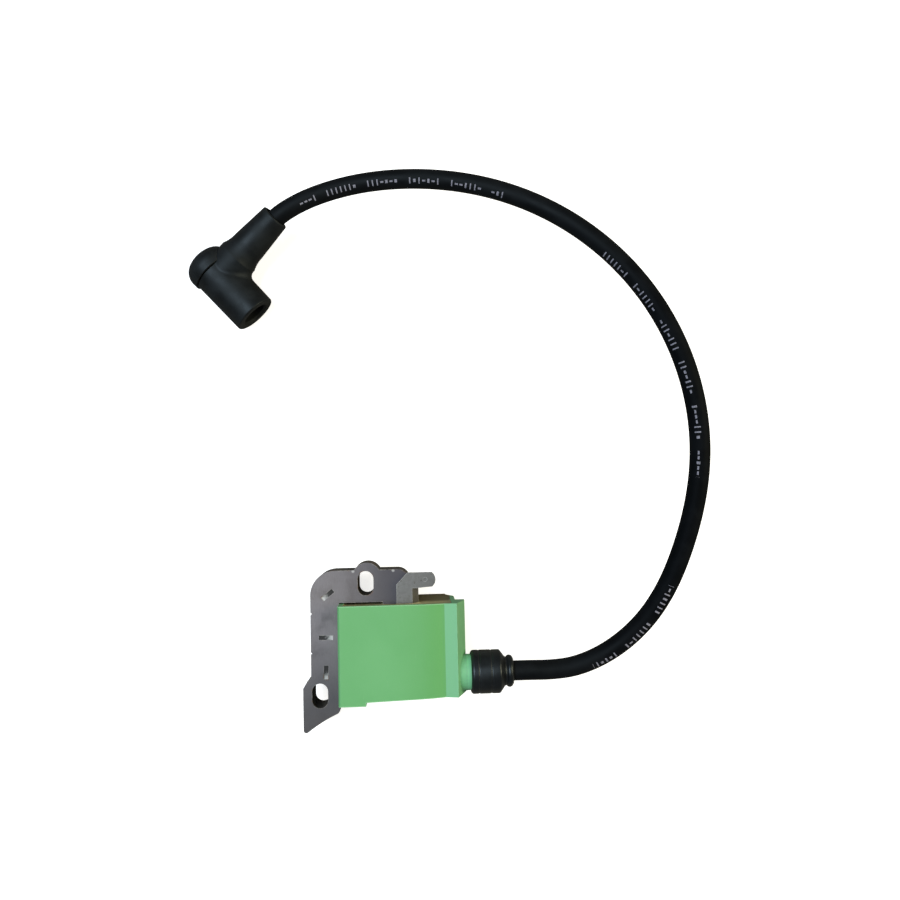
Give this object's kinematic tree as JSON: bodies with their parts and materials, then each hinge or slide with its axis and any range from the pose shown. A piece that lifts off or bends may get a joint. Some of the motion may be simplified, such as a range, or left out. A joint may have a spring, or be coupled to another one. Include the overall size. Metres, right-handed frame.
{
  "type": "ignition coil",
  "caption": "Two-leg laminated ignition coil with an open potted housing, kill switch blade, long high-tension lead and right-angle spark plug boot.",
  "frame": {"origin": "centre of the upper mounting slot on the seating (back) face of the laminated core", "axes": "+X along the yoke towards the high-tension tower, +Y from the pole faces towards the yoke, +Z out of the front face of the core, up when the coil lies on its back"},
  "size_m": [0.1843, 0.2019, 0.045],
  "materials": {
    "lamination_steel": "rolled electrical steel, thin grey oxide",
    "housing_plastic": "moulded glass-filled nylon, satin",
    "potting_resin": "cast epoxy resin",
    "bobbin_plastic": "moulded nylon, natural",
    "copper_wire": "enamelled copper wire",
    "board_laminate": "glass-epoxy board with solder mask",
    "component_black": "moulded epoxy, black",
    "capacitor_resin": "dipped film capacitor",
    "resistor_lacquer": "lacquered resistor body",
    "hookup_insulation": "extruded wire insulation",
    "terminal_plate": "tin-plated steel strip",
    "contact_brass": "turned brass",
    "lead_rubber": "extruded synthetic rubber, matt black",
    "insulation_rubber": "inner insulation rubber, grey",
    "boot_rubber": "moulded rubber, satin black",
    "spring_steel": "drawn spring wire"
  },
  "bodies": {
    "coil": {"core_front_lamination": "lamination_steel", "core_inner_laminations": "lamination_steel", "core_back_lamination": "lamination_steel", "housing": "housing_plastic", "potting_compound": "potting_resin", "primary_bobbin": "bobbin_plastic", "primary_winding": "copper_wire", "secondary_bobbin": "bobbin_plastic", "secondary_winding": "copper_wire", "circuit_board": "board_laminate", "power_transistor": "component_black", "control_transistor": "component_black", "film_capacitor": "capacitor_resin", "resistors": "resistor_lacquer", "protection_diode": "component_black", "hookup_wires": "hookup_insulation", "core_ground_strap": "terminal_plate", "kill_switch_terminal": "terminal_plate", "ht_contact_screw": "contact_brass", "secondary_lead_wire": "copper_wire"},
    "ht_lead": {"lead_jacket": "lead_rubber", "lead_insulation": "insulation_rubber", "lead_conductor": "copper_wire"},
    "tower_cover": {"tower_boot": "boot_rubber"},
    "plug_end": {"plug_boot": "boot_rubber", "plug_boot_cap": "boot_rubber", "plug_contact_spring": "spring_steel"}
  },
  "joints": [
    {"name": "lead_flex", "type": "hinge", "parent": "coil", "child": "ht_lead", "pos_m": [0.1163, 0.0437, 0.0316], "axis": [0, 0, 1], "range_deg": [-45, 45], "stiffness_Nm_per_rad": 0.02, "deforming": ["lead_jacket", "lead_insulation", "lead_conductor"]},
    {"name": "boot_swivel", "type": "hinge", "parent": "ht_lead", "child": "plug_end", "pos_m": [-0.05315, 0.1144, 0.0005], "axis": [0.7144, 0.6501, 0.2588], "range_deg": [-90, 90]},
    {"name": "tower_boot_slide", "type": "slide", "parent": "coil", "child": "tower_cover", "axis": [1, 0, 0], "range_m": [0, 0.012]}
  ]
}
